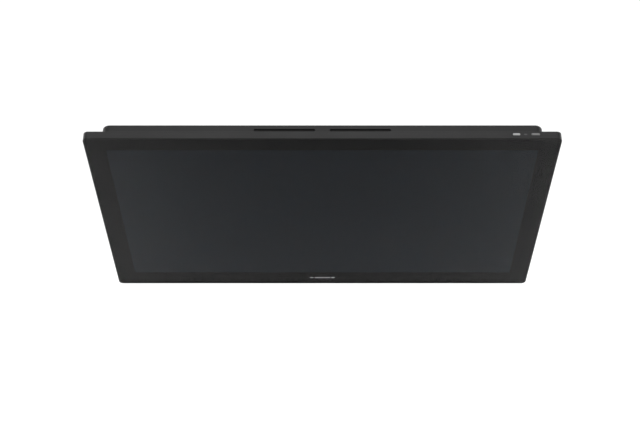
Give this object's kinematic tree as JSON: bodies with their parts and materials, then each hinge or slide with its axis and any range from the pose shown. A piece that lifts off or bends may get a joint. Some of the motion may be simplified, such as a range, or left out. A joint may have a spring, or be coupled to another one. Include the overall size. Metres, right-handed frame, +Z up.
{
  "type": "pen display",
  "caption": "Flat rectangular pen display with a wide-bordered glass face, raised rear housing, VESA mount, top vents, a power key and a brightness rocker.",
  "frame": {"origin": "centre of the 100 mm VESA bolt pattern, on its mounting face", "axes": "+X across the screen's width, +Y out of the back, +Z up; the glass faces -Y"},
  "size_m": [0.5854, 0.0253, 0.3577],
  "materials": {
    "housing_plastic": "fine texture",
    "cover_glass": "etched anti-glare",
    "border_ink": "printed",
    "mark_ink": "printed",
    "tape": "matte",
    "clear_bond": "clear",
    "lcd": "gloss",
    "film_sheets": "satin",
    "guide_acrylic": "clear",
    "white_sheet": "matte",
    "led_carrier": "satin",
    "led_yellow": "gloss",
    "pressed_steel": "zinc plated",
    "cast_frame": "satin",
    "brass_parts": "plated",
    "circuit_board": "solder mask",
    "amber_film": "gloss",
    "white_ribbon": "satin",
    "lead_red": "satin",
    "chip_black": "matte",
    "connector_cream": "matte",
    "sink_metal": "anodised",
    "port_metal": "nickel plated",
    "port_plastic": "matte",
    "mesh_black": "matte",
    "foot_rubber": "matte",
    "screw_black": "black oxide",
    "screw_zinc": "zinc plated",
    "inner_plastic": "matte",
    "switch_metal": "satin",
    "power_key": "satin",
    "brightness_key": "satin",
    "light_pipe": "smoked"
  },
  "bodies": {
    "display": {"front_frame": "housing_plastic", "rear_cover": "housing_plastic", "cover_glass": "cover_glass", "border_mask": "border_ink", "front_mark": "mark_ink", "glass_tape": "tape", "bond_layer": "clear_bond", "lcd_cell": "lcd", "prism_sheet": "film_sheets", "diffuser_sheet": "film_sheets", "light_guide": "guide_acrylic", "reflector_sheet": "white_sheet", "panel_frame": "white_sheet", "led_bar": "led_carrier", "led_packages": "led_yellow", "status_led": "led_yellow", "backlight_tray": "pressed_steel", "sensor_shield": "pressed_steel", "vesa_plate": "pressed_steel", "mid_frame": "cast_frame", "vesa_standoffs": "brass_parts", "board_posts": "brass_parts", "lcd_driver_board": "circuit_board", "sensor_board": "circuit_board", "main_board": "circuit_board", "digitizer_board": "circuit_board", "backlight_driver": "circuit_board", "key_board": "circuit_board", "driver_films": "amber_film", "sensor_ribbon": "amber_film", "display_ribbon": "white_ribbon", "key_ribbon": "white_ribbon", "data_ribbon": "white_ribbon", "backlight_leads": "lead_red", "board_chips": "chip_black", "digitizer_chips": "chip_black", "driver_coils": "chip_black", "board_connectors": "connector_cream", "heat_sink": "sink_metal", "hdmi_shell": "port_metal", "usb_c_shells": "port_metal", "dc_jack_pin": "port_metal", "hdmi_tongue": "port_plastic", "usb_c_tongues": "port_plastic", "dc_jack": "port_plastic", "vent_mesh": "mesh_black", "rubber_feet": "foot_rubber", "cover_screws": "screw_black", "board_screws": "screw_zinc", "rocker_pin": "screw_zinc", "key_bracket": "inner_plastic", "key_switches": "switch_metal", "status_light": "light_pipe"},
    "power_button": {"power_key": "power_key", "power_plunger": "inner_plastic"},
    "rocker": {"brightness_key": "brightness_key"},
    "left_plunger": {"plunger_left": "inner_plastic"},
    "right_plunger": {"plunger_right": "inner_plastic"}
  },
  "joints": [
    {"name": "power_key_press", "type": "slide", "parent": "display", "child": "power_button", "axis": [0, 0, -1], "range_m": [0, 0.0004], "stiffness_N_per_m": 800},
    {"name": "brightness_rock", "type": "hinge", "parent": "display", "child": "rocker", "pos_m": [0.2602, -0.01665, 0.17415], "axis": [0, 1, 0], "range_deg": [-3, 3], "stiffness_Nm_per_rad": 0.02},
    {"name": "left_plunger_travel", "type": "slide", "parent": "display", "child": "left_plunger", "axis": [0, 0, 1], "range_m": [-0.00019, 0.00019]},
    {"name": "right_plunger_travel", "type": "slide", "parent": "display", "child": "right_plunger", "axis": [0, 0, 1], "range_m": [-0.00019, 0.00019]}
  ],
  "couplings": [
    {"joint": "left_plunger_travel", "follows": "brightness_rock", "m_per_rad": 0.0036},
    {"joint": "right_plunger_travel", "follows": "brightness_rock", "m_per_rad": -0.0036}
  ]
}
